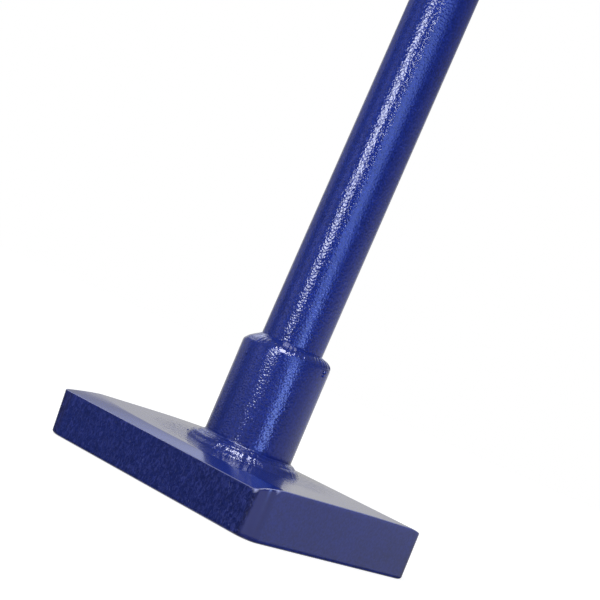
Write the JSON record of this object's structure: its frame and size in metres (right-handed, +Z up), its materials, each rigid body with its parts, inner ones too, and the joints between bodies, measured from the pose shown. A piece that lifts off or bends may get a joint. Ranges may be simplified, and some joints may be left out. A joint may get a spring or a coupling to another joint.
{
  "type": "hand tamper",
  "caption": "Hand tamper with a thick square steel plate, a welded socket collar and a long tube handle with a ribbed grip, for ramming soil flat by hand.",
  "frame": {"origin": "middle of the square plate's sole, on the ground that the tool rams", "axes": "+Z up along the shaft from the sole to the grip; X runs across the plate's two cut sides, Y across its two mill sides"},
  "size_m": [0.127, 0.127, 1.25],
  "materials": {
    "blue_enamel": "glossy hammer finish",
    "black_rubber": "matt moulded",
    "black_plastic": "satin moulded"
  },
  "bodies": {
    "root": {"base_plate": "blue_enamel", "socket_collar": "blue_enamel", "foot_weld_lower": "blue_enamel", "foot_weld_upper": "blue_enamel", "socket_top_weld": "blue_enamel", "shaft_tube": "blue_enamel", "hand_grip": "black_rubber", "end_plug": "black_plastic"}
  },
  "joints": []
}
